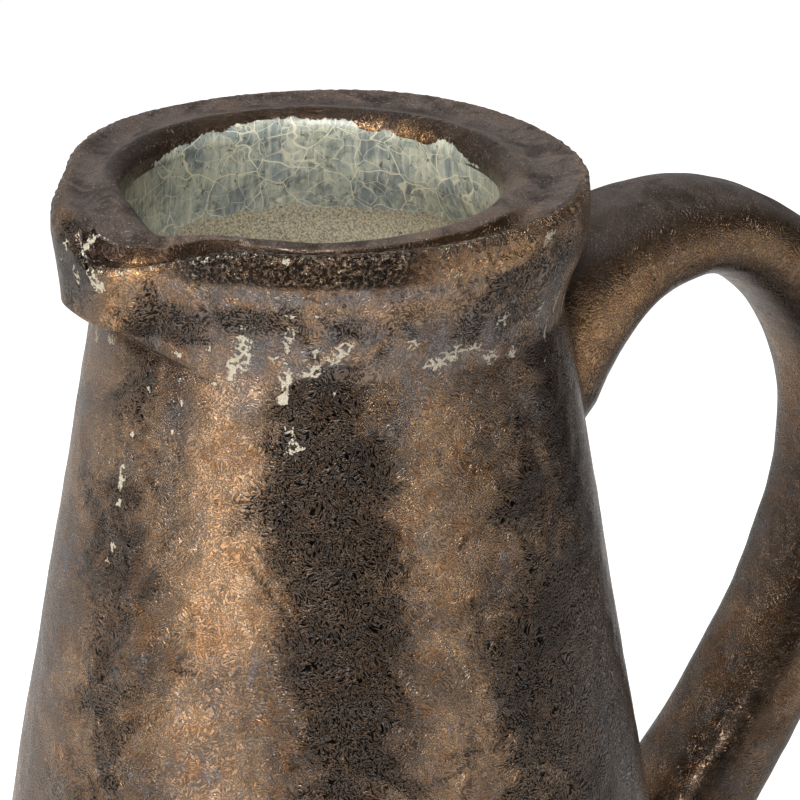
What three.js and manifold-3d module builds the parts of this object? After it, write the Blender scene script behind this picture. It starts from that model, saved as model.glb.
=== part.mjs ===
// Terracotta pitcher: a thrown conical jug with a heavy lip, a pinched spout and a pulled handle.
// Millimetres, +Z up. The origin is the centre of the flat underside. The handle is on +X and the
// spout on -X. Each clay piece is a closed solid, and the pieces are stacked as a potter joins them.
import * as THREE from 'three';
import Module from 'manifold-3d';
import { mergeVertices } from 'three/addons/utils/BufferGeometryUtils.js';

const wasm = await Module();
wasm.setup();

// Vessel
const height = 264;
const footRadius = 58;
const bellyRadius = 79;
const bellyHeight = 40;
const neckRadius = 52;
const neckDepth = 31;
const wallThickness = 8;
const floorThickness = 10;
const footBevel = 1.5;

// Lip: depths are below the top of the lip
const lipRadius = 57.5;
const lipDepth = 12;
const flareDepth = 8;
const lipEdgeRound = 1.6;
const mouthRadius = 41;
const mouthOffset = 4.2;
const mouthRound = 4.5;
const mouthDrop = 0.8;
const lipGroove = 0.9;
const lipTooth = 0.35;

// The lip is turned by hand and is out of round: [times round, size, direction of the crest in degrees]
const lipInset = 0.2;
const lipWaves = [
  [1, 0.6, 178],
  [2, 0.55, -144],
  [4, 0.5, 120],
  [5, 0.35, -169],
];

// Spout: a bulge of the lip and collar with its tip drawn down. All angles are from the spout and grow
// towards the side where a fingertip pinched it. There the bulge ends at a keel and its flank is pressed in.
const spoutReach = 6.8;
const spoutFlat = 12;
const spoutSpread = 43;
const keelAngle = -1;
const flankAngle = 15;
const spoutTaper = 2.5;
const spoutDroop = 1.4;
const droopStart = 0.2;
const flankPress = 1.6;
const flankPressFrom = 4;
const flankPressTo = 46;

// Chin: the bulge's lower edge, deepest under the spout and rising to the lip at both sides
const chinDepth = 23;
const chinAngle = -7;
const chinFlat = 9;
const chinSpread = 40;
const chinUndercut = 4.5;

// Pinch: the outer ridge is pushed down into a hollow, deepest between two angles. Shares run from the
// mouth's roll to the outer ridge, and the hollow's inner side moves outwards at the spout's tip.
const pinchDepth = 8;
const pinchFrom = -9;
const pinchDeepFrom = 0;
const pinchDeepTo = 5;
const pinchTo = 40;
const hollowShare = 0.12;
const hollowShift = 0.6;
const hollowWidth = 0.22;
const hollowShiftFrom = -6;
const hollowShiftTo = 16;

// Channel: the mouth's roll dips where liquid is poured, and its outer side tilts down to the hollow
const channelDepth = 3.65;
const channelAngle = 4;
const channelRise = 18;
const channelFall = 22;
const tiltDepth = 4.4;
const tiltAngle = 11;
const tiltRise = 20;
const tiltFall = 15;
const tiltShare = 0.3;

// Handle: a strap whose centreline runs from the collar over a crown and round an outer bend to the wall
const handleCrownDepth = 33;
const handleCrownReach = 96;
const handleBendDepth = 89;
const handleReach = 144;
const upperRootDepth = 51.5;
const lowerRootDepth = 199;
const upperRootAngle = 40;
const lowerRootAngle = 48;
const rootRise = 0.42;
const crownHold = 0.52;
const bendHold = 0.47;
const bendFall = 0.4;
const footPull = 0.28;
const thickenFrom = 0.4;
const strapWidth = 31.5;
const strapThickness = 22;
const lowerThickness = 26;
const strapRoundness = 2 / 2.4;
const upperFlare = 24;
const upperWidening = 7;
const lowerFlare = 9;
const upperFlareLength = 60;
const lowerFlareLength = 55;
const upperWadLength = 24;
const lowerWadLength = 30;
const rootBury = 24;

// Glaze and joints
const glazeThickness = 1;
const glazeCorner = 18;
const jointGap = 0.3;

// Facets
const around = 56;
const lipAround = 96;
const bevelRows = 3;
const footRows = 5;
const coneRows = 6;
const collarRows = 10;
const boreRows = 3;
const faceShares = [0, 0.35, 0.7, 1];
const lipShares = [0.84, 0.68, 0.52, 0.36, 0.18];
const rollTurns = [90, 60, 30, 0];
const cornerTurns = [90, 60, 30];
const strapSides = 16;
const strapRows = 36;
const wadRows = 8;

const lipBase = height - lipDepth;
const flareTop = height - flareDepth;
const neckHeight = height - neckDepth;
const toRadians = THREE.MathUtils.degToRad;
const clamp = THREE.MathUtils.clamp;

// Rises smoothly from 0 at a to 1 at b
function ease(x, a, b) {
  const t = clamp((x - a) / (b - a), 0, 1);
  return t * t * (3 - 2 * t);
}

// Angle in degrees between a direction and the spout, from -180 to 180, growing towards the pinch
function fromSpout(theta) {
  const degrees = THREE.MathUtils.radToDeg(theta) - 180;
  return degrees - 360 * Math.round(degrees / 360);
}

// How much of the spout a direction has: 1 across its middle, 0 past its spread and past its flank
function spoutShare(theta) {
  const off = fromSpout(theta);
  return (1 - ease(-off, spoutFlat, spoutSpread)) * (1 - ease(off, keelAngle, flankAngle));
}

// How far the collar has flared at a height: 0 at the neck and 1 at its top, on half a cosine wave
function flareShare(z) {
  const rise = clamp((z - neckHeight) / (flareTop - neckHeight), 0, 1);
  return Math.sin(rise * Math.PI / 2) ** 2;
}

// The wall outside, as a radius at each height: an elliptical foot, a cone that eases into the belly,
// and the flared collar
function wallRadius(z) {
  if (z < bellyHeight) {
    const drop = (bellyHeight - z) / bellyHeight;
    return footRadius + (bellyRadius - footRadius) * Math.sqrt(Math.max(0, 1 - drop * drop));
  }
  if (z < neckHeight) {
    const t = (neckHeight - z) / (neckHeight - bellyHeight);
    return neckRadius + (bellyRadius - neckRadius) * (6 * t - t ** 6) / 5;
  }
  return neckRadius + (lipRadius - neckRadius) * flareShare(z);
}

// How far out of round the lip is in each direction
function uneven(theta) {
  return lipWaves.reduce((sum, [times, size, crest]) => (
    sum + size * Math.cos(times * theta - toRadians(crest))), -lipInset);
}

// How far the collar beside the spout is pressed in
function flank(theta) {
  const off = fromSpout(theta);
  const middle = (flankPressFrom + flankPressTo) / 2;
  return flankPress * ease(off, flankPressFrom, middle) * (1 - ease(off, middle, flankPressTo));
}

// Depth of the bulge's lower edge below the top of the lip
function chin(theta) {
  const off = Math.abs(fromSpout(theta) - chinAngle);
  return flareDepth + (chinDepth - flareDepth) * (1 - ease(off, chinFlat, chinSpread));
}

// The outside with its spout: the bulge tapers down to its chin and then cuts under
function outerRadius(theta, z) {
  const depth = height - z;
  const wall = wallRadius(z) + (uneven(theta) - flank(theta)) * flareShare(z);
  const reach = lipRadius + spoutReach - spoutTaper * ease(depth, 0, chinDepth);
  const under = 1 - ease(depth, chin(theta), chin(theta) + chinUndercut);
  return wall + (reach - wall) * under * spoutShare(theta);
}

// The bore of the clay, inside the glaze. Its centre moves towards the spout as it nears the lip.
function boreRadius(z) {
  if (z >= neckHeight) return neckRadius - wallThickness;
  return wallRadius(z) - wallThickness;
}
function boreShift(z) {
  return -mouthOffset * ease(z, neckHeight, lipBase);
}

// How far the lip's outer ridge is pushed down in each direction
function pinch(theta) {
  const off = fromSpout(theta);
  return pinchDepth * ease(off, pinchFrom, pinchDeepFrom) * (1 - ease(off, pinchDeepTo, pinchTo));
}

// A smooth dent at an angle from the spout, rise wide before it and fall wide after it
function dent(theta, depth, angle, rise, fall) {
  const off = fromSpout(theta) - angle;
  return depth * (1 - ease(Math.abs(off), 0, off < 0 ? rise : fall));
}

// How far the mouth's roll dips in each direction, more at its outer side than at the mouth
function channel(theta, share) {
  const roll = dent(theta, channelDepth, channelAngle, channelRise, channelFall);
  const side = dent(theta, tiltDepth, tiltAngle, tiltRise, tiltFall);
  return roll + Math.max(side - roll, 0) * ease(share, 0, tiltShare);
}

// The crumbly outer edge of the lip: three waves that never line up
function tooth(theta) {
  return lipTooth * (Math.sin(17 * theta) + Math.sin(29 * theta + 1) + Math.sin(41 * theta + 2)) / 3;
}

// A closed solid from rings of points: ring i is row i of a grid, each ring closed on itself.
// With loop, the last ring joins the first. Otherwise both ends are closed by a fan.
function solidFromRings(rings, loop) {
  const count = rings[0].length;
  const points = rings.flat();
  const faces = [];
  const last = loop ? rings.length : rings.length - 1;
  for (let i = 0; i < last; i += 1) {
    const next = (i + 1) % rings.length;
    for (let j = 0; j < count; j += 1) {
      const k = (j + 1) % count;
      faces.push(i * count + j, next * count + j, next * count + k);
      faces.push(i * count + j, next * count + k, i * count + k);
    }
  }
  if (!loop) {
    for (const [ring, turned] of [[0, false], [rings.length - 1, true]]) {
      const centre = new THREE.Vector3();
      for (const p of rings[ring]) centre.addScaledVector(p, 1 / count);
      points.push(centre);
      for (let j = 0; j < count; j += 1) {
        const a = ring * count + j;
        const b = ring * count + (j + 1) % count;
        faces.push(points.length - 1, turned ? b : a, turned ? a : b);
      }
    }
  }
  const geometry = new THREE.BufferGeometry();
  geometry.setAttribute('position', new THREE.Float32BufferAttribute(points.flatMap((p) => p.toArray()), 3));
  geometry.setIndex(faces);
  if (enclosedVolume(geometry) < 0) geometry.setIndex(faces.reverse());
  return geometry;
}

// The volume inside a closed geometry, negative when its faces point inwards
function enclosedVolume(geometry) {
  const position = geometry.getAttribute('position');
  const corner = [new THREE.Vector3(), new THREE.Vector3(), new THREE.Vector3()];
  let sum = 0;
  for (let i = 0; i < geometry.index.count; i += 3) {
    corner.forEach((v, n) => v.fromBufferAttribute(position, geometry.index.getX(i + n)));
    sum += corner[0].dot(corner[1].clone().cross(corner[2]));
  }
  return sum / 6;
}

// A solid of revolution or near it: profile(theta) lists [radius, z, shift] points, and each point's
// ring turns round an axis moved by shift along X
function turned(steps, profile, loop) {
  const columns = [];
  for (let j = 0; j < steps; j += 1) {
    const theta = 2 * Math.PI * j / steps;
    columns.push(profile(theta).map(([radius, z, shift = 0]) => (
      new THREE.Vector3(shift + radius * Math.cos(theta), radius * Math.sin(theta), z))));
  }
  const rings = columns[0].map((_, i) => columns.map((column) => column[i]));
  return solidFromRings(rings, loop);
}

// Evenly spaced values from a to b
function spread(a, b, count) {
  return Array.from({ length: count + 1 }, (_, i) => a + (b - a) * i / count);
}

// Base: a slab with a flat underside, a small bevel and the start of the rounded foot
function makeBaseSlab() {
  const flatRadius = wallRadius(0) - footBevel;
  const rows = spread(footBevel, floorThickness, bevelRows);
  return turned(around, () => [
    [flatRadius, 0],
    ...rows.map((z) => [wallRadius(z), z]),
  ], false);
}

// The heights of the wall's rings, shared by the wall and the glaze inside it
const wallLevels = [
  ...spread(floorThickness, bellyHeight, footRows),
  ...spread(bellyHeight, neckHeight, coneRows).slice(1),
];

// Wall from the slab to the neck: outside upwards, then the bore downwards
function makeBodyWall() {
  return turned(around, () => [
    ...wallLevels.map((z) => [wallRadius(z), z]),
    ...wallLevels.toReversed().map((z) => [boreRadius(z), z]),
  ], true);
}

// Collar between the neck crease and the lip, with the lower part of the spout
function makeNeckCollar() {
  const outside = spread(neckHeight, lipBase, collarRows);
  const inside = spread(lipBase, neckHeight, boreRows);
  return turned(lipAround, (theta) => [
    ...outside.map((z) => [outerRadius(theta, z), z]),
    ...inside.map((z) => [boreRadius(z), z, boreShift(z)]),
  ], true);
}

// Distance from the vessel's axis to the edge of the mouth, a circle that is shifted to the spout
function mouthEdge(theta) {
  const across = mouthOffset * Math.sin(theta);
  return Math.sqrt(mouthRadius ** 2 - across ** 2) - mouthOffset * Math.cos(theta);
}

// Height of the lip's top at a share across it: 0 at the mouth's roll and 1 at the outer ridge.
// It has a shallow groove behind the ridge, the pouring channel, and the pinched hollow outside that.
function lipTop(theta, share) {
  const groove = lipGroove * Math.sin(Math.PI * share) ** 2;
  const start = hollowShare + hollowShift * (1 - ease(fromSpout(theta), hollowShiftFrom, hollowShiftTo));
  const dip = channel(theta, share);
  const hollow = Math.max(pinch(theta) - dip, 0) * ease(share, start, start + hollowWidth);
  const droop = spoutDroop * spoutShare(theta) * ease(share, droopStart, 1);
  return height - groove - dip - hollow - droop;
}

// Lip: a heavy ring with a rolled mouth edge, a grooved flat top and a crumbly outer edge
function makeRimLip() {
  const boreTop = boreRadius(lipBase);
  return turned(lipAround, (theta) => {
    const outline = (z) => outerRadius(theta, Math.min(z, flareTop));
    const outerTop = lipTop(theta, 1);
    const face = outerTop - lipEdgeRound;
    const ridge = outline(face) - lipEdgeRound + tooth(theta);
    const inner = mouthEdge(theta);
    const rollTop = inner + mouthRound;
    const boreX = boreShift(lipBase) + boreTop * Math.cos(theta);
    const boreEdge = Math.hypot(boreX, boreTop * Math.sin(theta));
    const points = faceShares.map((share) => {
      const z = lipBase + (face - lipBase) * share;
      return [outline(z) + tooth(theta + 2 * share) * share, z];
    });
    points.push([ridge + lipEdgeRound * Math.SQRT1_2, outerTop - lipEdgeRound * (1 - Math.SQRT1_2)]);
    points.push([ridge, outerTop]);
    for (const share of lipShares) {
      points.push([rollTop + (ridge - rollTop) * share, lipTop(theta, share)]);
    }
    for (const turn of rollTurns) {
      const angle = toRadians(turn);
      const z = lipTop(theta, 0) - mouthDrop * Math.cos(angle) - mouthRound * (1 - Math.sin(angle));
      points.push([rollTop - mouthRound * Math.cos(angle), z]);
    }
    points.push([boreEdge, lipBase]);
    return points;
  }, true);
}

// Glaze inside: a skin that follows the bore and the floor with a small clearance
function makeGlazeLining() {
  const wallZ = wallLevels.filter((z) => z > floorThickness + wallThickness);
  const collarZ = spread(neckHeight, lipBase - jointGap, boreRows).slice(1);
  const skin = (offset) => {
    const floor = floorThickness + offset;
    const lift = wallZ[0] - floor;
    const wall = boreRadius(wallZ[0]) - offset;
    const corner = cornerTurns.map((turn) => {
      const angle = toRadians(turn);
      return [wall - glazeCorner * (1 - Math.cos(angle)), floor + lift * (1 - Math.sin(angle))];
    });
    const up = [...wallZ, ...collarZ].map((z) => [boreRadius(z) - offset, z, boreShift(z)]);
    return [[corner[0][0] / 2, floor], ...corner, ...up];
  };
  return turned(around, () => [
    ...skin(jointGap),
    ...skin(jointGap + glazeThickness).toReversed(),
  ], false);
}

// The strap's centreline in the XZ plane: a crown, an outer bend and two roots, as three Bezier curves
function handleLine() {
  const at = (x, depth) => new THREE.Vector3(x, 0, height - depth);
  const root = at(neckRadius, upperRootDepth);
  const crown = at(handleCrownReach, handleCrownDepth);
  const bend = at(handleReach, handleBendDepth);
  const foot = at(wallRadius(height - lowerRootDepth), lowerRootDepth);
  const up = toRadians(upperRootAngle);
  const down = toRadians(lowerRootAngle);
  const climb = new THREE.Vector3(Math.cos(up), 0, Math.sin(up));
  const arrive = new THREE.Vector3(Math.cos(down), 0, Math.sin(down));
  const rise = (crown.x - root.x) * rootRise;
  const beyond = crown.x + (bend.x - crown.x) * crownHold;
  const above = bend.z + (crown.z - bend.z) * bendHold;
  const below = bend.z - (bend.z - foot.z) * bendFall;
  const pull = (bend.z - foot.z) * footPull;
  const path = new THREE.CurvePath();
  path.add(new THREE.LineCurve3(root.clone().addScaledVector(climb, -rootBury), root));
  path.add(new THREE.CubicBezierCurve3(
    root, root.clone().addScaledVector(climb, rise), at(crown.x - rise, handleCrownDepth), crown));
  path.add(new THREE.CubicBezierCurve3(
    crown, at(beyond, handleCrownDepth), new THREE.Vector3(bend.x, 0, above), bend));
  path.add(new THREE.CubicBezierCurve3(
    bend, new THREE.Vector3(bend.x, 0, below), foot.clone().addScaledVector(arrive, pull), foot));
  path.add(new THREE.LineCurve3(foot, foot.clone().addScaledVector(arrive, -rootBury)));
  return path;
}

// How strongly each root flares at a distance along the strap from its upper end, 1 at the vessel's wall
function flares(path, distance) {
  const free = path.getLength() - 2 * rootBury;
  const past = distance - rootBury;
  const upper = clamp(1 - past / upperFlareLength, 0, 1) ** 2;
  const lower = clamp(1 - (free - past) / lowerFlareLength, 0, 1) ** 2;
  return { upper, lower, share: clamp(past / free, 0, 1) };
}

// One ring of the strap: a rounded rectangle across the centreline, even to the outer bend and thicker below
function strapRing(path, distance) {
  const u = distance / path.getLength();
  const centre = path.getPointAt(u);
  const along = path.getTangentAt(u);
  const outward = new THREE.Vector3(-along.z, 0, along.x);
  const { upper, lower, share } = flares(path, distance);
  const even = strapThickness + (lowerThickness - strapThickness) * ease(share, thickenFrom, 1);
  const depth = even + upperFlare * upper + lowerFlare * lower;
  const width = strapWidth + upperWidening * upper + lowerFlare * lower;
  const round = (value) => Math.sign(value) * Math.abs(value) ** strapRoundness;
  return Array.from({ length: strapSides }, (_, j) => {
    const angle = 2 * Math.PI * j / strapSides;
    const point = centre.clone().addScaledVector(outward, round(Math.cos(angle)) * depth / 2);
    point.y += round(Math.sin(angle)) * width / 2;
    return point;
  });
}

// A stretch of the handle between two distances along it
function strapStretch(path, from, to, rows) {
  return solidFromRings(spread(from, to, rows).map((distance) => strapRing(path, distance)), false);
}

function toManifold(geometry) {
  const bare = new THREE.BufferGeometry();
  bare.setAttribute('position', geometry.getAttribute('position').clone());
  bare.setIndex(geometry.index.clone());
  const merged = mergeVertices(bare, 1e-4);
  return new wasm.Manifold(new wasm.Mesh({
    numProp: 3,
    vertProperties: new Float32Array(merged.getAttribute('position').array),
    triVerts: new Uint32Array(merged.index.array),
  }));
}

function fromManifold(solid) {
  const mesh = solid.getMesh();
  const geometry = new THREE.BufferGeometry();
  geometry.setAttribute('position', new THREE.BufferAttribute(mesh.vertProperties, 3));
  geometry.setIndex(new THREE.BufferAttribute(mesh.triVerts, 1));
  return geometry;
}

// The whole vessel's outside, grown by the joint gap, that the wads are cut by
function vesselEnvelope() {
  const rows = [0, ...wallLevels, ...spread(neckHeight, lipBase, collarRows).slice(1), flareTop, height];
  return turned(lipAround, (theta) => rows.map((z) => [outerRadius(theta, z) + jointGap, z]), false);
}

// Strap and wads: one pulled form, parted where the wads end, with the wads cut to the vessel
function makeHandle() {
  const path = handleLine();
  const length = path.getLength();
  const upperEnd = rootBury + upperWadLength;
  const lowerEnd = length - rootBury - lowerWadLength;
  const envelope = toManifold(vesselEnvelope());
  const cut = (geometry) => fromManifold(toManifold(geometry).subtract(envelope));
  return {
    upper: cut(strapStretch(path, 0, upperEnd, wadRows)),
    strap: strapStretch(path, upperEnd + jointGap, lowerEnd - jointGap, strapRows),
    lower: cut(strapStretch(path, lowerEnd, length, wadRows)),
  };
}

function clay(color, roughness, metalness) {
  return new THREE.MeshStandardMaterial({ color, roughness, metalness });
}

const bronzeGlaze = clay('#5b4332', 0.4, 0.7);
const lipGlaze = clay('#564a45', 0.6, 0.3);
const crackleGlaze = clay('#a9ad97', 0.35, 0);
const bareClay = clay('#8a5a3c', 0.85, 0);

const group = new THREE.Group();
function add(name, geometry, material) {
  geometry.computeVertexNormals();
  const mesh = new THREE.Mesh(geometry, material);
  mesh.name = name;
  group.add(mesh);
}

const handle = makeHandle();
add('base_slab', makeBaseSlab(), bareClay);
add('body_wall', makeBodyWall(), bronzeGlaze);
add('neck_collar', makeNeckCollar(), bronzeGlaze);
add('rim_lip', makeRimLip(), lipGlaze);
add('glaze_lining', makeGlazeLining(), crackleGlaze);
add('handle_upper_wad', handle.upper, bronzeGlaze);
add('handle_strap', handle.strap, bronzeGlaze);
add('handle_lower_wad', handle.lower, bronzeGlaze);

export default group;
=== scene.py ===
# %% [markdown]
# A hand-made terracotta pitcher. The CAD frame gives the clay pieces at their real size. This script
# gives them their fired surface: a bronze-lustre glaze outside, a dry flat lip, a pale crackle glaze
# inside, and one pulled handle that is smoothed onto the wall as a potter does it with a wet thumb.

# %% Load the frame
import math
import bpy
import numpy as np
from mathutils import Matrix, Vector


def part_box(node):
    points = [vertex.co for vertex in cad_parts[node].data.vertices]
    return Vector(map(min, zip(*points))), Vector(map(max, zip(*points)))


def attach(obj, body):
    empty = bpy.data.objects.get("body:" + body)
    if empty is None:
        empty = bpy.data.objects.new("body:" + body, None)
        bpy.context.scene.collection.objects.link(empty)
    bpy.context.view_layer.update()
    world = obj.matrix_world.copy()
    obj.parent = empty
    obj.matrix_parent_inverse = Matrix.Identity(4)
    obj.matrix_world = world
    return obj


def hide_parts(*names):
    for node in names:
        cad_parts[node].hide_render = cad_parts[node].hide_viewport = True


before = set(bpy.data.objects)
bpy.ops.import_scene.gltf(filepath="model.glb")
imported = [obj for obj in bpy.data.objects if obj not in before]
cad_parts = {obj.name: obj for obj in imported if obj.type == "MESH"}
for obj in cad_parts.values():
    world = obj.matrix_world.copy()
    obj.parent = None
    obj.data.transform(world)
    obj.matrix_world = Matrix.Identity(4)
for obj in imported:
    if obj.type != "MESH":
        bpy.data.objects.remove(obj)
scene = bpy.context.scene
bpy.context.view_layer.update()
print("frame nodes:", sorted(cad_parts))

# %% [markdown]
# The sizes and the camera come first. The pieces are worked out in millimetres and turned to metres
# when they become meshes. What the frame knows is read from it here. The form's other driving sizes,
# such as the spout's reach, the lip's roll and the handle's run, stand where they are used.

# %% Sizes in millimetres
MM = 1000


def frame_mm(node, corner, axis):
    """One coordinate of a node's box: corner 0 is the lowest and 1 the highest."""
    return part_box(node)[corner][axis] * MM


HEIGHT = frame_mm("rim_lip", 1, 2)
LIP_BASE = frame_mm("rim_lip", 0, 2)
NECK_HEIGHT = frame_mm("neck_collar", 0, 2)
FLOOR = frame_mm("base_slab", 1, 2)
BELLY_RADIUS = frame_mm("body_wall", 1, 1)
print("height", round(HEIGHT, 2), "neck at", round(NECK_HEIGHT, 2), "belly", round(BELLY_RADIUS, 2))

# %% [markdown]
# The photograph is taken from the spout's side of the handle plane, from a little above, with a long
# lens. A camera is three directions and a distance: back points from the object to the lens. The
# focal length follows from how many pixels one millimetre of the object takes in the picture.

# %% Camera
VIEW_AZIMUTH, VIEW_ELEVATION = math.radians(-36), math.radians(20.5)
VIEW_DISTANCE = 1800
PIXELS_PER_MM = 4.587
PICTURE_PIXELS = 800
SENSOR = 36
AIM_RIGHT, AIM_UP = 15.7, -50.45

back = Vector((
    math.sin(VIEW_AZIMUTH) * math.cos(VIEW_ELEVATION),
    -math.cos(VIEW_AZIMUTH) * math.cos(VIEW_ELEVATION),
    math.sin(VIEW_ELEVATION),
))
right = Vector((math.cos(VIEW_AZIMUTH), math.sin(VIEW_AZIMUTH), 0))
up = back.cross(right)
aim = Vector((0, 0, HEIGHT)) + right * AIM_RIGHT + up * AIM_UP
lens = bpy.data.cameras.new("camera")
lens.sensor_width = SENSOR
lens.lens = SENSOR * PIXELS_PER_MM * VIEW_DISTANCE / PICTURE_PIXELS
lens.clip_end = 20
camera = bpy.data.objects.new("camera", lens)
scene.collection.objects.link(camera)
turn = Matrix((right, up, back)).transposed().to_4x4()
camera.matrix_world = Matrix.Translation((aim + back * VIEW_DISTANCE) / MM) @ turn
scene.camera = camera
print("focal length", round(lens.lens, 1), "mm")

# %% [markdown]
# Every surface here is a grid of points worked out as whole arrays. A few helpers carry the work:
# smooth steps, a seeded random waviness for what the hand leaves in clay, and one that turns a grid
# into a closed mesh.

# %% Helpers for shapes
def ease(x, a, b):
    """Rises smoothly from 0 at a to 1 at b, as 3t squared minus 2t cubed."""
    t = np.clip((x - a) / (b - a), 0, 1)
    return t * t * (3 - 2 * t)


def band(x, a, b, c, d, height=1):
    """Rises from 0 at a to height at b, and falls from height at c to 0 at d."""
    return height * ease(x, a, b) * (1 - ease(x, c, d))


def waviness(points, length, seed, waves=28):
    """Random relief about 1 high at points: a sum of plane waves of about one length in random
    directions with random phases, divided by the square root of half their number."""
    draw = np.random.default_rng(seed)
    way = draw.normal(size=(waves, 3))
    way /= np.linalg.norm(way, axis=1)[:, None]
    count = 2 * np.pi / (length * draw.uniform(0.7, 1.4, waves))
    phase = draw.uniform(0, 2 * np.pi, waves)
    total = np.zeros(points.shape[:-1])
    for k in range(waves):
        total += np.sin(points @ (way[k] * count[k]) + phase[k])
    return total / math.sqrt(waves / 2)


print("a smooth step is", float(ease(0.25, 0, 1)), "high a quarter of the way")

# %% Helpers for meshes
def grid_mesh(name, points, loop=False):
    """A closed mesh from a grid of points in mm, points[i, j], i along the profile and j around. The
    profile is a loop, or else each of its ends is closed with a fan."""
    rows, columns = points.shape[:2]
    i, j = np.meshgrid(np.arange(rows if loop else rows - 1), np.arange(columns), indexing="ij")
    i2, j2 = (i + 1) % rows, (j + 1) % columns
    quads = np.stack([i * columns + j, i * columns + j2, i2 * columns + j2, i2 * columns + j], -1)
    vertices = points.reshape(-1, 3)
    faces = quads.reshape(-1, 4).tolist()
    for row, flip in () if loop else ((0, False), (rows - 1, True)):
        ring = row * columns + np.arange(columns)
        tip = len(vertices)
        vertices = np.vstack([vertices, points[row].mean(0)])
        after = np.roll(ring, -1)
        first, second = (ring, after) if flip else (after, ring)
        faces += np.stack([np.full(columns, tip), first, second], -1).tolist()
    mesh = bpy.data.meshes.new(name)
    mesh.from_pydata((vertices / MM).tolist(), [], faces)
    mesh.validate()
    mesh.shade_smooth()
    piece = bpy.data.objects.new(name, mesh)
    scene.collection.objects.link(piece)
    outwards(mesh)
    return piece


def outwards(mesh):
    """Turns all faces out if the mesh's signed volume is negative."""
    corners = np.empty(len(mesh.vertices) * 3)
    mesh.vertices.foreach_get("co", corners)
    corners = corners.reshape(-1, 3)
    mesh.calc_loop_triangles()
    triangles = np.empty(len(mesh.loop_triangles) * 3, dtype=np.int32)
    mesh.loop_triangles.foreach_get("vertices", triangles)
    a, b, c = (corners[triangles.reshape(-1, 3)[:, k]] for k in range(3))
    if np.einsum("ij,ij->i", a, np.cross(b, c)).sum() < 0:
        mesh.flip_normals()
    print(mesh.name, "has", len(mesh.loop_triangles), "triangles")


def paint(piece, name, values, start=0):
    """Stores one number for each vertex, which a material reads by name: values from vertex start
    on, and 0 elsewhere."""
    full = np.zeros(len(piece.data.vertices))
    full[start:start + values.size] = values.ravel()
    piece.data.attributes.new(name, "FLOAT", "POINT").data.foreach_set("value", full)

# %% [markdown]
# The outside of the vessel is one formula. From the foot up it is an elliptical foot, a cone that
# eases into the belly, and a collar that flares on half a wave. The lip is out of round by a few
# slow waves. The spout is a bulge that tapers down to a chin, and the chin rises to both sides.

# %% The wall's form
BELLY_HEIGHT, FOOT_RADIUS, FOOT_BEVEL = 40, 58, 1.5
NECK_RADIUS, WALL = 52, 8
LIP_RADIUS, LIP_INSET, FLARE_TOP = 57.5, 0.2, HEIGHT - 8
LIP_WAVES = ((1, 0.6, 178), (2, 0.55, -144), (4, 0.5, 120), (5, 0.35, -169))


def flare_share(z):
    """0 at the neck and 1 near the top, on half a wave."""
    return np.sin(np.clip((z - NECK_HEIGHT) / (FLARE_TOP - NECK_HEIGHT), 0, 1) * np.pi / 2) ** 2


def wall_radius(z):
    """Radius of the wall outside at a height."""
    drop = np.clip((BELLY_HEIGHT - z) / BELLY_HEIGHT, 0, 1)
    foot = FOOT_RADIUS + (BELLY_RADIUS - FOOT_RADIUS) * np.sqrt(1 - drop * drop)
    t = np.clip((NECK_HEIGHT - z) / (NECK_HEIGHT - BELLY_HEIGHT), 0, 1)
    cone = NECK_RADIUS + (BELLY_RADIUS - NECK_RADIUS) * (6 * t - t ** 6) / 5
    collar = NECK_RADIUS + (LIP_RADIUS - NECK_RADIUS) * flare_share(z)
    return np.where(z < BELLY_HEIGHT, foot, np.where(z < NECK_HEIGHT, cone, collar))


def uneven(theta):
    """How far the lip is out of round: a sum of cosines."""
    waves = [size * np.cos(times * theta - math.radians(crest)) for times, size, crest in LIP_WAVES]
    return sum(waves) - LIP_INSET


def bore_radius(z):
    """Radius of the bore in the clay."""
    return np.where(z >= NECK_HEIGHT, NECK_RADIUS - WALL, wall_radius(z) - WALL)


print("wall radius at the neck", float(wall_radius(np.array(NECK_HEIGHT))), "and belly", BELLY_RADIUS)

# %% The spout's form
SPOUT_REACH, SPOUT_FLAT, SPOUT_SPREAD, SPOUT_TAPER, SPOUT_DROOP = 6.8, 12, 43, 2.5, 1.4
KEEL_ANGLE, FLANK_ANGLE = -1, 15
FLANK_PRESS, PRESS_FROM, PRESS_TO = 1.6, 4, 46
CHIN_DEPTH, CHIN_ANGLE, CHIN_FLAT, CHIN_SPREAD, CHIN_UNDERCUT = 23, -7, 9, 40, 4.5


def from_spout(theta):
    """Angle in degrees from the spout on -X, from -180 to 180, growing towards the pinch."""
    degrees = np.degrees(theta) - 180
    return degrees - 360 * np.round(degrees / 360)


def spout_share(theta):
    """1 across the spout's middle, 0 past its spread at one side and past its flank at the other."""
    off = from_spout(theta)
    return (1 - ease(-off, SPOUT_FLAT, SPOUT_SPREAD)) * (1 - ease(off, KEEL_ANGLE, FLANK_ANGLE))


def flank(theta):
    """How far the collar beside the spout is pressed in."""
    off, middle = from_spout(theta), (PRESS_FROM + PRESS_TO) / 2
    return band(off, PRESS_FROM, middle, middle, PRESS_TO, FLANK_PRESS)


def chin(theta):
    """Depth of the bulge's lower edge below the top of the lip."""
    off = np.abs(from_spout(theta) - CHIN_ANGLE)
    shallow = HEIGHT - FLARE_TOP
    return shallow + (CHIN_DEPTH - shallow) * (1 - ease(off, CHIN_FLAT, CHIN_SPREAD))


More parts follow.
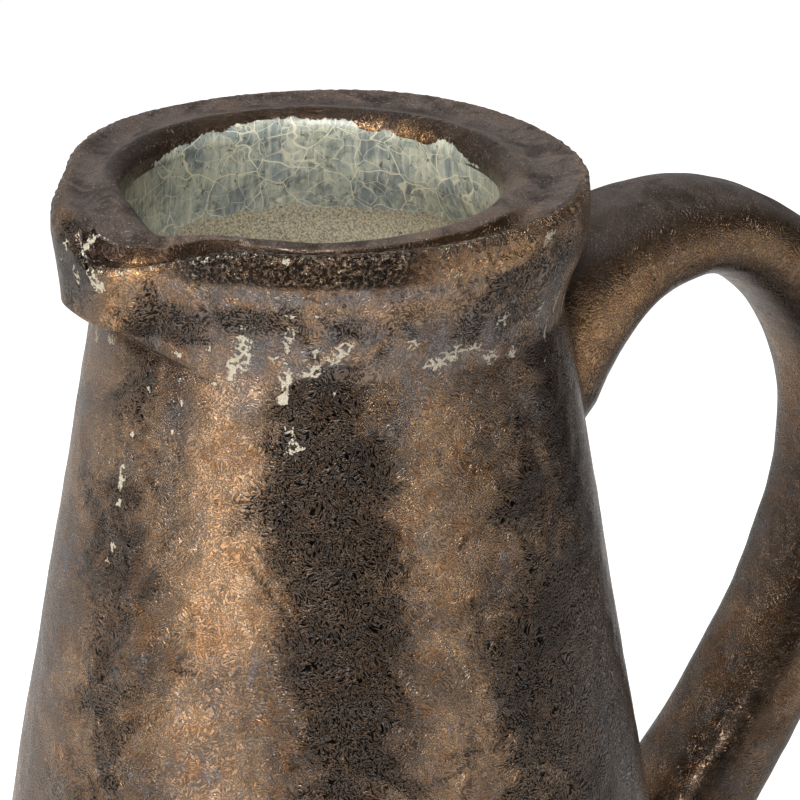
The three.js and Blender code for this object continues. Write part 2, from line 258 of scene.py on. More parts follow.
def outer_radius(theta, z):
    """The wall with the lip's unevenness and the spout's bulge."""
    depth = HEIGHT - z
    wall = wall_radius(z) + (uneven(theta) - flank(theta)) * flare_share(z)
    reach = LIP_RADIUS + SPOUT_REACH - SPOUT_TAPER * ease(depth, 0, CHIN_DEPTH)
    under = 1 - ease(depth, chin(theta), chin(theta) + CHIN_UNDERCUT)
    return wall + (reach - wall) * under * spout_share(theta)


tip = float(outer_radius(np.array(np.pi), np.array(HEIGHT)))
print("the spout's tip is", round(tip, 1), "mm from the axis")

# %% [markdown]
# The lip's top is a height over its width: a roll round the mouth, a groove, an outer ridge, the
# pinched hollow beside the spout, and the dip in the roll where liquid is poured.

# %% The mouth and the pinch
MOUTH_RADIUS, MOUTH_OFFSET, MOUTH_ROUND, MOUTH_DROP = 41, 4.2, 4.5, 0.8
PINCH_DEPTH, PINCH_FROM, PINCH_DEEP_FROM, PINCH_DEEP_TO, PINCH_TO = 8, -9, 0, 5, 40
CHANNEL_DEPTH, CHANNEL_ANGLE, CHANNEL_RISE, CHANNEL_FALL = 3.65, 4, 18, 22
TILT_DEPTH, TILT_ANGLE, TILT_RISE, TILT_FALL, TILT_SHARE = 4.4, 11, 20, 15, 0.3


def bore_shift(z):
    """How far the bore's centre lies along X: it moves to the spout near the lip."""
    return -MOUTH_OFFSET * ease(z, NECK_HEIGHT, LIP_BASE)


def mouth_edge(theta):
    """Distance from the axis to the mouth, a circle shifted towards the spout."""
    across = MOUTH_OFFSET * np.sin(theta)
    return np.sqrt(MOUTH_RADIUS ** 2 - across ** 2) - MOUTH_OFFSET * np.cos(theta)


def pinch(theta):
    """How far the outer ridge of the lip is pushed down beside the spout."""
    return band(from_spout(theta), PINCH_FROM, PINCH_DEEP_FROM, PINCH_DEEP_TO, PINCH_TO, PINCH_DEPTH)


def dent(theta, depth, angle, rise, fall):
    """A smooth dent at an angle from the spout, rise wide before it and fall wide after it."""
    off = from_spout(theta) - angle
    return depth * (1 - ease(np.abs(off), 0, np.where(off < 0, rise, fall)))


def channel(theta, share):
    """How far the mouth's roll dips where liquid is poured. Its outer side is pressed down more."""
    roll = dent(theta, CHANNEL_DEPTH, CHANNEL_ANGLE, CHANNEL_RISE, CHANNEL_FALL)
    side = dent(theta, TILT_DEPTH, TILT_ANGLE, TILT_RISE, TILT_FALL)
    return roll + np.maximum(side - roll, 0) * ease(share, 0, TILT_SHARE)


dip = float(channel(np.radians(180 + CHANNEL_ANGLE), np.array(0)))
print("the roll dips", dip, "mm where liquid is poured")

# %% The lip's top
LIP_EDGE, LIP_GROOVE, GROOVE_DEPTH = 1.6, 0.9, 2.2
HOLLOW_SHARE, HOLLOW_SHIFT, HOLLOW_WIDTH, SHIFT_FROM, SHIFT_TO = 0.12, 0.6, 0.22, -6, 16


def hollow_side(theta, share):
    """0 on the mouth's side of the pinched hollow and 1 in it. It starts further out at the spout."""
    start = HOLLOW_SHARE + HOLLOW_SHIFT * (1 - ease(from_spout(theta), SHIFT_FROM, SHIFT_TO))
    return 0.85 * ease(share, start, start + HOLLOW_WIDTH) + 0.15 * ease(share, start + HOLLOW_WIDTH, 1)


def groove_share(theta):
    """1 along the front, where the lip has a deep groove between its roll and its ridge."""
    return band(from_spout(theta), 16, 30, 104, 122)


def lip_top(theta, share):
    """Height of the lip's top, share 0 at the mouth's roll and 1 at the outer ridge."""
    share_in = np.clip(share, 0, 1)
    shallow = LIP_GROOVE * np.sin(np.pi * share_in) ** 2
    deep = band(share, 0.3, 0.5, 0.84, 1, GROOVE_DEPTH) * groove_share(theta)
    dip = channel(theta, share_in)
    hollow = np.maximum(pinch(theta) - dip, 0) * hollow_side(theta, share)
    droop = SPOUT_DROOP * spout_share(theta) * ease(share, 0.2, 1)
    knob = 0.9 * np.exp(-((from_spout(theta) + 0.5) / 2.2) ** 2 - ((share - 0.85) / 0.12) ** 2)
    return HEIGHT - shallow - deep - dip - hollow - droop + knob


at_back = float(HEIGHT - lip_top(np.array(0), np.array(0.5)))
print("the groove is", round(at_back, 2), "mm deep at the handle")

# %% [markdown]
# Foot, wall, collar and lip are one continuous skin, worked out as one grid so that the joints
# between the clay pieces can't be seen under the glaze. The collar and lip take the most skill. The
# lip is a heavy coil folded out flat: a rolled edge round the mouth, a groove, an outer ridge and a
# crumbly outer face. Beside the spout a fingertip has pinched the ridge down and left a hollow.

# %% The vessel's skin
AROUND = 600
theta = np.linspace(0, 2 * np.pi, AROUND, endpoint=False)[None, :]


def place(theta, radius, z, shift=0):
    """Points at an angle, radius and height round an axis moved along X by shift."""
    theta, radius, z, shift = np.broadcast_arrays(theta, radius, z, shift)
    return np.stack([shift + radius * np.cos(theta), radius * np.sin(theta), z], -1)


def skin_sections():
    """The profile from the foot to the mouth, as named grids of points with rows from low to high."""
    t = theta
    foot_turn = np.linspace(0, np.pi / 2, 24)
    foot_z = BELLY_HEIGHT * (1 - np.cos(foot_turn))
    foot_z = np.concatenate([[0.35], foot_z[foot_z > FOOT_BEVEL]])
    foot_z = foot_z[foot_z < FLOOR - 0.5]
    foot_r = wall_radius(foot_z)
    foot_r[0] = FOOT_RADIUS - FOOT_BEVEL + 0.6
    wall_z = np.concatenate([
        np.linspace(FLOOR, BELLY_HEIGHT, 14)[:-1],
        np.linspace(BELLY_HEIGHT, NECK_HEIGHT - 8, 96)[:-1],
        np.linspace(NECK_HEIGHT - 8, NECK_HEIGHT, 17),
    ])[:, None]
    low = np.linspace(NECK_HEIGHT, LIP_BASE, 42)[1:, None]
    edge_round = LIP_EDGE + 2.6 * spout_share(t) * (1 - ease(from_spout(t), -9, -1))
    top = lip_top(t, np.array(1))
    face_z = LIP_BASE + (top - edge_round - LIP_BASE) * np.linspace(0, 1, 22)[1:, None]
    outer = outer_radius(t, np.minimum(face_z, FLARE_TOP))
    ridge = outer[-1] - edge_round
    turn = np.linspace(0, np.pi / 2, 9)[1:, None]
    roll_top = mouth_edge(t) + MOUTH_ROUND
    share = np.linspace(1, 0, 40)[1:, None]
    down = np.linspace(np.pi / 2, 0, 15)[1:, None]
    roll_z = lip_top(t, np.array(0)) - MOUTH_DROP * np.cos(down) - MOUTH_ROUND * (1 - np.sin(down))
    return {
        "foot": place(t, foot_r[:, None], foot_z[:, None]),
        "wall": place(t, outer_radius(t, wall_z), wall_z),
        "collar": place(t, outer_radius(t, low), low),
        "face": place(t, outer, face_z),
        "edge": place(t, ridge + edge_round * np.cos(turn), top - edge_round * (1 - np.sin(turn))),
        "top": place(t, roll_top + (ridge - roll_top) * share, lip_top(t, share)),
        "roll": place(t, roll_top - MOUTH_ROUND * np.cos(down), roll_z),
    }


sections = skin_sections()
skin = np.concatenate(list(sections.values()))
ends = dict(zip(sections, np.cumsum([len(part) for part in sections.values()])))
row = np.arange(len(skin))[:, None]
print("skin of", skin.shape[0], "rows by", skin.shape[1])

# %% Zones of the skin
def rows_between(start, end, soft=3):
    """1 on the rows from start to end, with soft steps."""
    return band(row, start - soft, start + soft, end - soft, end + soft)


on_face = rows_between(ends["collar"] - 5, ends["edge"], 3)
on_edge = rows_between(ends["face"] - 2, ends["edge"] + 5, 2)
on_top = rows_between(ends["edge"] - 2, ends["roll"] - 8, 4)
depth_below = HEIGHT - skin[..., 2]
around_spout = from_spout(theta)
frontal = band(around_spout, 12, 26, 96, 112)
share_of_row = np.clip((ends["top"] - 1 - row) / (ends["top"] - ends["edge"]), 0, 1)
hollow_mask = ease(hollow_side(theta, share_of_row), 0.02, 0.12)
hollow_mask = hollow_mask * ease(pinch(theta) - channel(theta, share_of_row), 0.3, 1.2)
hollow_mask = hollow_mask * rows_between(ends["face"] + 5, ends["roll"], 1)
# The groove along the front; below, it is painted dark as shade.
groove_shade = groove_share(theta) * rows_between(ends["edge"] + 5, ends["top"] - 13, 2)
print("each section ends at row", {name: int(end) for name, end in ends.items()})

# %% [markdown]
# No hand-made pot is smooth. Its small unevenness is added along the radius: slow dents and faint
# rings on the wall, crumbs on the lip's outer face, chips on its ridge, and a slightly sagging top.

# %% The hand's traces
FOLD_DEPTH, FOLD_SLOPE = 29.8, 0.11


def moved(points, inwards, down=0):
    """Points drawn in towards the axis and let down, in mm."""
    keep = 1 - inwards / np.maximum(np.hypot(points[..., 0], points[..., 1]), 1)
    result = points.copy()
    result[..., 0] *= keep
    result[..., 1] *= keep
    result[..., 2] -= down
    return result


def hollows(points, length, seed):
    """Waviness as a depth from 0 to about 1."""
    return np.clip(0.5 + 0.28 * waviness(points, length, seed), 0, 1)


def worked_skin():
    """The hand's traces as depths: slow dents, faint rings, a crumbly face and ridge, the collar's
    step under the lip, and the overhanging fold at the left."""
    body_only = 1 - ease(row, ends["wall"] - 20, ends["wall"] + 30)
    above_foot = ease(row, ends["foot"], ends["foot"] + 6)
    dents = hollows(skin, 42, 1) * 0.35 * above_foot * (0.35 + 0.65 * body_only)
    small = hollows(skin, 9, 2) * 0.12 * above_foot
    chips = np.clip(waviness(skin, 3, 5) - 0.35, 0, 2) * 0.22
    crumbs = hollows(skin, 1.6, 6) * 0.3
    crumbly = on_face * (0.12 + 0.88 * frontal) * (chips + crumbs)
    patchy = hollows(skin, 14, 7)
    teeth = on_edge * hollows(skin, 2, 11) * (0.5 + 0.1 * frontal * patchy)
    step = band(depth_below, 6.4, 9, 14, 26, 0.6 * frontal)
    fold = HEIGHT - FOLD_DEPTH - FOLD_SLOPE * around_spout
    left = band(around_spout, -30, -12, 10, 30)
    overhang = 1.5 * left * np.exp(-((skin[..., 2] - fold) / 1.1) ** 2)
    inwards = dents + small + crumbly + teeth + step + overhang
    sag = hollows(skin, 17, 8) * 0.4 * on_top
    pits = np.clip(waviness(skin, 4, 9) - 0.9, 0, 1) * 0.15 * on_top
    crest = on_edge * (0.1 + 0.5 * frontal * patchy) * hollows(skin, 2.4, 12) * 0.6
    return moved(skin, inwards, sag + pits + crest)


skin_points = worked_skin()
print("the hand moved the skin by up to", round(float(np.abs(skin_points - skin).max()), 2), "mm")

# %% Normals of the skin
def grid_normals(points):
    """Unit normals of a grid closed around, from the cross product of its two directions."""
    along = np.gradient(points, axis=0)
    round_way = np.roll(points, -1, axis=1) - np.roll(points, 1, axis=1)
    normal = np.cross(round_way, along)
    return normal / np.maximum(np.linalg.norm(normal, axis=-1, keepdims=True), 1e-12)


skin_normals = grid_normals(skin_points)
print("normals at", skin_normals.shape[0] * skin_normals.shape[1], "points")

# %% [markdown]
# The skin is cut at the clay pieces' joints, and each cut is closed behind the glaze by the bore and
# two flat rings. The cut edges keep the whole skin's normals, so light runs across them unbroken.

# %% Foot, wall, collar and lip
def skinned(name, first, last, closing, below=()):
    """A piece from skin rows first..last, closed by other rows, that keeps the skin's normals.
    Returned with its first skin vertex and its rows."""
    points = np.concatenate([*below, skin_points[first:last], *closing])
    piece = grid_mesh(name, points, loop=not below)
    start = sum(len(part) for part in below) * AROUND
    normals = np.zeros((len(piece.data.vertices), 3))
    kept = skin_normals[first:last].reshape(-1, 3)
    normals[start:start + len(kept)] = kept
    piece.data.normals_split_custom_set_from_vertices(normals.tolist())
    return piece, start, first, last


bore_z = np.linspace(NECK_HEIGHT, FLOOR + 0.1, 24)
wall_bore = place(theta, bore_radius(bore_z)[:, None], bore_z[:, None])
collar_z = np.linspace(LIP_BASE - 0.1, NECK_HEIGHT + 0.1, 8)[:, None]
collar_bore = place(theta, bore_radius(collar_z), collar_z, bore_shift(collar_z))
flat = FOOT_RADIUS - FOOT_BEVEL
inner = float(bore_radius(np.array(FLOOR)))
foot_end, wall_end, collar_end = ends["foot"], ends["wall"], ends["collar"]
under = [place(theta, np.linspace(0.12, 1, 8)[:, None] * flat, 0)]
floor_rings = [place(theta, np.linspace(1, 0.1, 8)[1:, None] * (inner + WALL), FLOOR)]
lip_bore = [place(theta, bore_radius(np.array([LIP_BASE]))[:, None], LIP_BASE + 0.05, -MOUTH_OFFSET)]

skinned_pieces = (
    skinned("foot_slab", 0, foot_end + 1, floor_rings, under),
    skinned("thrown_wall", foot_end, wall_end, [wall_bore]),
    skinned("flared_collar", wall_end - 1, collar_end, [collar_bore]),
    skinned("folded_lip", collar_end - 1, len(skin), lip_bore),
)
foot, wall, collar, lip = (made[0] for made in skinned_pieces)

# %% [markdown]
# Inside, a thick crackle glaze follows the bore and tucks in under the mouth's roll. It is a thin
# closed skin, so it has an inner and an outer side joined at its top edge.

# %% Glaze lining
GLAZE, TUCK, CLAY_GAP = 1, 0.4, 0.3


def lining_side(offset, top):
    """Rows from the middle of the floor out, round the corner and up the bore, offset mm inside it."""
    floor = FLOOR + CLAY_GAP + offset
    lift, corner_width = 12 - offset, 18
    wall = bore_radius(np.array(floor + lift)) - CLAY_GAP - offset
    angle = np.linspace(np.pi / 2, 0, 9)[:, None]
    corner = place(theta, wall - corner_width * (1 - np.cos(angle)), floor + lift * (1 - np.sin(angle)))
    start = float(wall) - corner_width
    bottom = place(theta, np.linspace(0.05, 1, 7)[:-1, None] * start, floor)
    z = np.concatenate([
        np.linspace(floor + lift, NECK_HEIGHT, 34)[1:],
        np.linspace(NECK_HEIGHT, top, 30)[1:],
    ])[:, None]
    tuck = (MOUTH_RADIUS + TUCK) - (bore_radius(np.array(NECK_HEIGHT)) - CLAY_GAP - GLAZE)
    lean = ease(z, NECK_HEIGHT + 6, top) * (z > NECK_HEIGHT) * tuck
    radius = bore_radius(z) - CLAY_GAP - offset + lean
    up_side = place(theta, radius, z, bore_shift(z))
    up_side[..., 2] -= channel(theta, 0) * ease(z, NECK_HEIGHT + 6, top)
    return np.concatenate([bottom, corner, up_side])


LINING_TOP = HEIGHT - MOUTH_DROP - MOUTH_ROUND + 0.2
lining_points = np.concatenate([lining_side(GLAZE, LINING_TOP), lining_side(0.1, LINING_TOP)[::-1]])
lining = grid_mesh("glaze_skin", lining_points)

# %% [markdown]
# The handle is pulled: a strap of wet clay stroked to an even rounded section, bent over a crown and
# stuck on at both ends. Its centreline is three Bezier curves in the plane of the spout, and its
# section is a rounded rectangle that swells at the roots. Both ends run on into the wall. Where each
# line of the strap meets the wall, a short quadratic curve turns it along the wall, so the strap
# spreads out as smoothed clay does.

# %% The handle's line
CROWN = (96, 33)
BEND = (144, 89)
UPPER_ROOT_DEPTH, LOWER_ROOT_DEPTH = 51.5, 199
UPPER_ROOT_ANGLE, LOWER_ROOT_ANGLE = math.radians(40), math.radians(48)
BURY, STRAP_STEPS = 24, 420


def bezier(a, b, c, d, steps=400):
    """A cubic Bezier curve through 2D points, (1-t) cubed a and so on, as an array of points."""
    t = np.linspace(0, 1, steps)[:, None]
    s = 1 - t
    return s ** 3 * a + 3 * s * s * t * b + 3 * s * t * t * c + t ** 3 * d


def handle_line():
    """The centreline as points (x, z) at even steps, and how far along it each one is."""
    at = lambda x, depth: np.array([x, HEIGHT - depth])
    root, crown, bend = at(NECK_RADIUS, UPPER_ROOT_DEPTH), at(*CROWN), at(*BEND)
    foot = at(float(wall_radius(np.array(HEIGHT - LOWER_ROOT_DEPTH))), LOWER_ROOT_DEPTH)
    climb = np.array([math.cos(UPPER_ROOT_ANGLE), math.sin(UPPER_ROOT_ANGLE)])
    arrive = np.array([math.cos(LOWER_ROOT_ANGLE), math.sin(LOWER_ROOT_ANGLE)])
    rise = (crown[0] - root[0]) * 0.42
    hold = (bend[0] - crown[0]) * 0.52
    bend_hold = (crown[1] - bend[1]) * 0.47
    fall = (bend[1] - foot[1]) * 0.4
    line = np.concatenate([
        np.linspace(root - climb * BURY, root, 60)[:-1],
        bezier(root, root + climb * rise, crown - [rise, 0], crown)[:-1],
        bezier(crown, crown + [hold, 0], bend + [0, bend_hold], bend)[:-1],
        bezier(bend, bend - [0, fall], foot + arrive * fall * 0.7, foot)[:-1],
        np.linspace(foot, foot - arrive * BURY, 60),
    ])
    far = np.concatenate([[0], np.cumsum(np.linalg.norm(np.diff(line, axis=0), axis=1))])
    even = np.linspace(0, far[-1], STRAP_STEPS)
    return np.stack([np.interp(even, far, line[:, k]) for k in (0, 1)], -1), even


strap_line, strap_far = handle_line()
print("the strap is", round(float(strap_far[-1]) - 2 * BURY), "mm long")

# %% The strap
STRAP_WIDTH, STRAP_THICKNESS, LOWER_THICKNESS = 31.5, 22, 26
UPPER_FLARE, UPPER_WIDENING, LOWER_FLARE = 24, 7, 9
UPPER_FLARE_LENGTH, LOWER_FLARE_LENGTH = 60, 55
STRAP_SIDES = 120


def strap_rings(line, far):
    """Rings across the centreline: a superellipse of the strap's thickness and width."""
    along = np.gradient(line, axis=0)
    along /= np.linalg.norm(along, axis=1)[:, None]
    out = np.stack([-along[:, 1], along[:, 0]], -1)
    free = far[-1] - 2 * BURY
    past = far - BURY
    upper = np.clip(1 - past / UPPER_FLARE_LENGTH, 0, 1) ** 2
    lower = np.clip(1 - (free - past) / LOWER_FLARE_LENGTH, 0, 1) ** 2
    share = np.clip(past / free, 0, 1)
    depth = STRAP_THICKNESS + (LOWER_THICKNESS - STRAP_THICKNESS) * ease(share, 0.4, 1)
    depth = depth + UPPER_FLARE * upper + LOWER_FLARE * lower
    width = STRAP_WIDTH + UPPER_WIDENING * upper + LOWER_FLARE * lower
    angle = np.linspace(0, 2 * np.pi, STRAP_SIDES, endpoint=False)
    power = 2 / 2.4
    a = np.sign(np.cos(angle)) * np.abs(np.cos(angle)) ** power
    b = np.sign(np.sin(angle)) * np.abs(np.sin(angle)) ** power
    x = line[:, 0, None] + out[:, 0, None] * a * depth[:, None] / 2
    z = line[:, 1, None] + out[:, 1, None] * a * depth[:, None] / 2
    y = b * width[:, None] / 2
    points = np.stack([x, y, z], -1)
    centre = np.stack([line[:, 0], 0 * line[:, 0], line[:, 1]], -1)[:, None, :]
    soft = hollows(points, 30, 21) * 0.7
    fine = hollows(points, 8, 22) * 0.15
    reach = np.linalg.norm(points - centre, axis=-1, keepdims=True)
    return points + (centre - points) / reach * (soft + fine)[..., None]


rings = strap_rings(strap_line, strap_far)
print("the strap has", len(rings), "rings of", STRAP_SIDES, "points")

# %% The handle's roots
FILLET, FILLET_RINGS, FILLET_SUNK, END_BURIED = 7, 26, 0.7, 4


def onto_wall(points, sunk):
    """Moves points along their radius onto the wall, sunk mm under its surface."""
    theta = np.arctan2(points[..., 1], points[..., 0])
    return place(theta, outer_radius(theta, points[..., 2]) - sunk, points[..., 2])


def root_curve(rings):
    """The last rings of one end, from the strap to the wall, as quadratic curves from the strap's
    point one fillet away, by way of where its line meets the wall, to a point spread along the wall."""
    theta = np.arctan2(rings[..., 1], rings[..., 0])
    gap = np.hypot(rings[..., 0], rings[..., 1]) - outer_radius(theta, rings[..., 2])
    first = np.argmax(gap > 0, axis=0)
    sides = np.arange(rings.shape[1])
    meet = rings[first, sides]
    step = np.linalg.norm(rings[1:, sides] - rings[:-1, sides], axis=-1).mean()
    begin = np.minimum(first + int(round(FILLET / step)), len(rings) - 1)
    middle = meet.mean(0)
    spread = meet - middle
    spread /= np.linalg.norm(spread, axis=1)[:, None]
    return begin, meet, onto_wall(meet + spread * FILLET, FILLET_SUNK)


def rooted(rings):
    """The strap between its fillets, with both fillets and a buried ring at each end."""
    sides = np.arange(STRAP_SIDES)
    half = len(rings) // 2
    parts = []
    for end_rings in (rings[:half], rings[half:][::-1]):
        begin, meet, end = root_curve(end_rings)
        last = int(begin.max())
        k = np.linspace(0, 1, FILLET_RINGS)[:-1, None, None]
        s = 1 - k
        fan = k * k * end_rings[begin, sides] + 2 * k * s * meet + s * s * end
        index = begin + (last - begin) * np.linspace(0, 1, 8)[:-1, None]
        low = np.floor(index).astype(int)
        mix = (index - low)[..., None]
        high = np.minimum(low + 1, len(end_rings) - 1)
        between = end_rings[low, sides] * (1 - mix) + end_rings[high, sides] * mix
        buried = onto_wall(end, END_BURIED)[None]
        parts.append(np.concatenate([buried, fan, between, end_rings[last:]]))
    return np.concatenate([parts[0], parts[1][::-1]])


handle_points = rooted(rings)
handle = grid_mesh("pulled_handle", handle_points)

# %% Handle masks
side = np.linspace(0, 360, STRAP_SIDES, endpoint=False)[None, :]
strap_row = np.arange(len(handle_points))[:, None]
outwards_share = ease(np.cos(np.radians(side)), 0.35, 0.8)
inwards_share = band(side, 130, 170, 190, 230)
# A band along the strap's side towards the lens, painted gold as a highlight of the right light.
handle_highlight_band = np.exp(-((side - 270) / 24) ** 2) * ease(strap_row, 4, 18)
handle_highlight_band = handle_highlight_band * (1 - 0.5 * ease(strap_row, 24, 60))
paint(handle, "dry", outwards_share * (0.6 + 0.4 * hollows(handle_points, 20, 31)))
paint(handle, "gold_and_highlight", 0.9 * handle_highlight_band * (1 - ease(strap_row, 90, 150)))
# The rest of the strap is painted dark brown, partly painted shade; the highlight band is left out, and
# so is the inner face, left lighter as painted light.
paint(handle, "brown_and_shade", 1 - 0.8 * inwards_share - handle_highlight_band)
print("handle masks on", handle_points.shape[0], "rings")

# %% [markdown]
# Masks for the materials. The photograph shows cream slip where the glaze has crawled or worn off:
# along the crease under the collar, on the spout and in a few drips. Each is a soft spot on the wall,
# and the material breaks it up into ragged flecks. A fleck is given by the pixel at which the picture
# shows it, and the camera says which direction and height that is. Broad stains and painted shade,
# and what the picture doesn't show, are given by direction and height.

# %% From the picture to the skin
NEAR_PIXELS, SAME_LAYER = 4, 3
from_aim = skin_points - np.array(aim)
seen_depth = VIEW_DISTANCE - from_aim @ np.array(back)
seen_scale = PIXELS_PER_MM * VIEW_DISTANCE / seen_depth
seen_x = PICTURE_PIXELS / 2 + from_aim @ np.array(right) * seen_scale
seen_y = PICTURE_PIXELS / 2 - from_aim @ np.array(up) * seen_scale
to_lens = np.array(aim + back * VIEW_DISTANCE) - skin_points
faces_lens = np.einsum("ijk,ijk->ij", skin_normals, to_lens) > 0


def read_off(spots):
    """Spots whose first two numbers are a pixel of the picture, with these turned to the degrees
    round from +X and the height of the skin's point that is seen there."""
    placed = []
    for x, y, *rest in spots:
        off = np.hypot(seen_x - x, seen_y - y)
        near = faces_lens & (off < NEAR_PIXELS)
        near &= seen_depth < seen_depth[near].min() + SAME_LAYER
        point = skin_points[np.unravel_index(np.argmin(np.where(near, off, np.inf)), off.shape)]
        placed.append((math.degrees(math.atan2(point[1], point[0])) % 360, point[2], *rest))
    return placed


print(int(faces_lens.sum()), "points of the skin face the lens")

# %% Spots of wear
FRONT = -126
CREASE = NECK_HEIGHT + 2


def mapped(points, spots):
    """Soft spots on the wall: each spot is (degrees round from +X, height, half width, half height,
    strength) in mm, a bell curve in arc length and height. Returns their sum at most 1."""
    angle = np.degrees(np.arctan2(points[..., 1], points[..., 0]))
    radius = np.hypot(points[..., 0], points[..., 1])
    total = np.zeros(angle.shape)
    for azimuth, height, half_width, half_height, strength in spots:
        off = (angle - azimuth + 180) % 360 - 180
        arc = np.radians(off) * radius
        rise = points[..., 2] - height
        total += strength * np.exp(-(arc / half_width) ** 2 - (rise / half_height) ** 2)
    return np.clip(total, 0, 1)


WORN = read_off((
    (66, 245, 1.8, 1.7, 1), (61, 257, 1.1, 1.9, 0.9), (75, 272, 1.8, 1.8, 1), (77, 281, 1.1, 1.4, 0.9),
    (90, 274, 1.4, 1.6, 1), (98, 286, 2.4, 2.6, 1), (96, 335, 2.4, 2.4, 0.9), (110, 339, 3, 2.2, 0.9),
    (105, 329, 3.4, 0.6, 0.8), (179, 355, 2.6, 1.4, 0.9), (210, 349, 1.7, 0.9, 0.9),
    (244, 348, 2.6, 4, 1), (237, 365, 2.8, 2.8, 0.95), (231, 376, 1.2, 2.2, 0.95),
    (242, 326, 1, 0.8, 0.9), (242, 342, 1.6, 0.7, 0.8), (275, 360, 1.8, 1.9, 0.95),
    (287, 345, 1, 3, 0.95), (291, 335, 2, 2.3, 0.9), (290, 317, 1.6, 0.7, 0.95),
    (317, 317, 1.4, 0.6, 0.95), (287, 377, 1.7, 2.7, 1.3), (284, 400, 1.7, 1.5, 1.3),
    (316, 351, 1.1, 2.2, 0.95), (315, 371, 1.8, 1.8, 0.95), (307, 375, 2, 1.2, 0.95),
    (335, 357, 2.9, 2.4, 0.95), (346, 346, 2.5, 1.7, 0.95), (291, 426, 1.6, 1.3, 0.95),
    (296, 445, 2.7, 2.6, 0.95), (414, 346, 2.3, 2, 0.95), (445, 358, 3.8, 2.6, 0.92),
    (430, 367, 2.2, 1.6, 0.9), (458, 351, 2.4, 1.6, 0.9), (476, 345, 2.1, 1.9, 0.95),
    (490, 357, 3.4, 2.4, 0.95), (513, 353, 1.8, 2.2, 0.95), (502, 320, 3.2, 2.4, 0.95),
    (540, 310, 1.6, 2.8, 0.95), (557, 302, 0.9, 3.6, 1.1), (545, 330, 0.9, 3.8, 1),
    (565, 305, 0.9, 3.2, 1.1), (545, 362, 0.8, 1.6, 0.8), (445, 280, 1.8, 0.8, 0.9),
    (457, 275, 1.4, 0.8, 0.9), (552, 234, 2.2, 1.5, 1.1), (547, 243, 1.1, 1.6, 0.9),
    (532, 236, 1.4, 0.7, 0.85), (288, 261, 1, 1.1, 1.3), (180, 381, 0.7, 0.7, 1.2),
    (181, 402, 0.8, 0.8, 1.2), (215, 385, 0.9, 0.6, 1.1), (172, 434, 0.6, 0.6, 1.2),
    (335, 395, 0.6, 0.6, 1.1), (122, 478, 1.3, 2.6, 1.6), (119, 503, 0.9, 1.4, 1.5),
    (113, 546, 1.2, 1.6, 1.6), (107, 562, 0.9, 1, 1.5), (131, 436, 0.8, 1.2, 1.5),
    (148, 390, 0.8, 0.9, 1.4),
)) + [
    (90, CREASE, 14, 4, 0.7), (40, CREASE, 9, 4, 0.7), (130, CREASE + 3, 8, 3, 0.7),
    (-20, CREASE, 6, 3, 0.7),
]
print(len(WORN), "worn spots")

# %% Spots of haze, of soot and painted shade, and of gold and painted highlights
HAZE = [
    (212, 240, 10, 7, 1), (226, 240, 10, 6, 1), (236, 241, 9, 6, 1), (262, 239, 13, 6, 1),
    (214, 228, 5, 5, 0.7), (226, 221, 5, 6, 0.6), (278, 241, 9, 8, 1), (298, 240, 6, 12, 0.9),
    (176, 252, 6, 6, 0.6), (166, 232, 8, 6, 0.8), (247, 246, 16, 5, 0.7), (218, 251, 9, 4, 0.7),
    (197, 222, 4, 8, 0.9), (196, 205, 4, 10, 0.6),
    (90, 236, 24, 8, 0.8), (30, 236, 16, 8, 0.8), (130, 238, 14, 8, 0.7), (236, 208, 12, 14, 0.4),
]
# These spots darken the glaze: partly a sootier glaze, partly painted shade, chiefly the dark band down
# the cone's middle and its right side, where it reflects the dark room.
SOOT_AND_SHADE_SPOTS = [
    (FRONT - 1, 224, 13, 16, 0.9), (FRONT - 2, 204, 13, 16, 0.9), (FRONT + 2, 184, 13, 20, 0.85),
    (FRONT + 5, 150, 13, 40, 0.8), (FRONT + 74, 160, 34, 76, 1), (FRONT + 78, 226, 16, 14, 0.6),
    (179, 262, 8, 4, 1), (FRONT + 42, 146, 20, 38, 0.65), (FRONT - 50, 170, 15, 80, 0.66),
    *read_off(((116, 292, 1, 1, 1.6), (112, 310, 1, 0.8, 1.6), (150, 288, 1.2, 2.6, 1.6))),
    (203, 254, 5, 2, 0.6), (208, 246, 14, 5, 0.4), (240, 245, 16, 5, 0.35),
    (222, 247, 14, 5, 0.45), (252, 250, 18, 6, 0.5), (284, 250, 18, 8, 0.55),
    (272, 243, 12, 6, 0.45), (171, 250, 9, 10, 0.9), (194, 243, 9, 6, 0.8),
]
# Golden spots: partly glaze that ran thick, partly painted highlights on the spout's chin and the lip's
# face.
GOLD_AND_HIGHLIGHT_SPOTS = [
    *read_off((
        (117, 280, 3, 3, 0.8), (135, 274, 3.6, 1.6, 1), (112, 302, 2.2, 3.4, 0.8),
        (108, 324, 1.8, 1.6, 0.9),
    )),
    (203, 253, 4, 3, 0.5), (268, 258, 8, 3.4, 0.7),
    (280, 258.6, 6, 3, 0.8), (252, 251, 12, 3, 0.4),
]
# On the mouth's roll, gold spots painted as highlights on thick, shiny glaze.
ROLL_GOLD_AND_HIGHLIGHT_SPOTS = read_off(((372, 125, 2.8, 1.5, 1), (406, 132, 3.2, 1.6, 1), (425, 137, 2, 1.4, 0.9)))
print(len(HAZE), "hazy,", len(SOOT_AND_SHADE_SPOTS), "sooty and", len(GOLD_AND_HIGHLIGHT_SPOTS) + len(ROLL_GOLD_AND_HIGHLIGHT_SPOTS), "gilt spots")

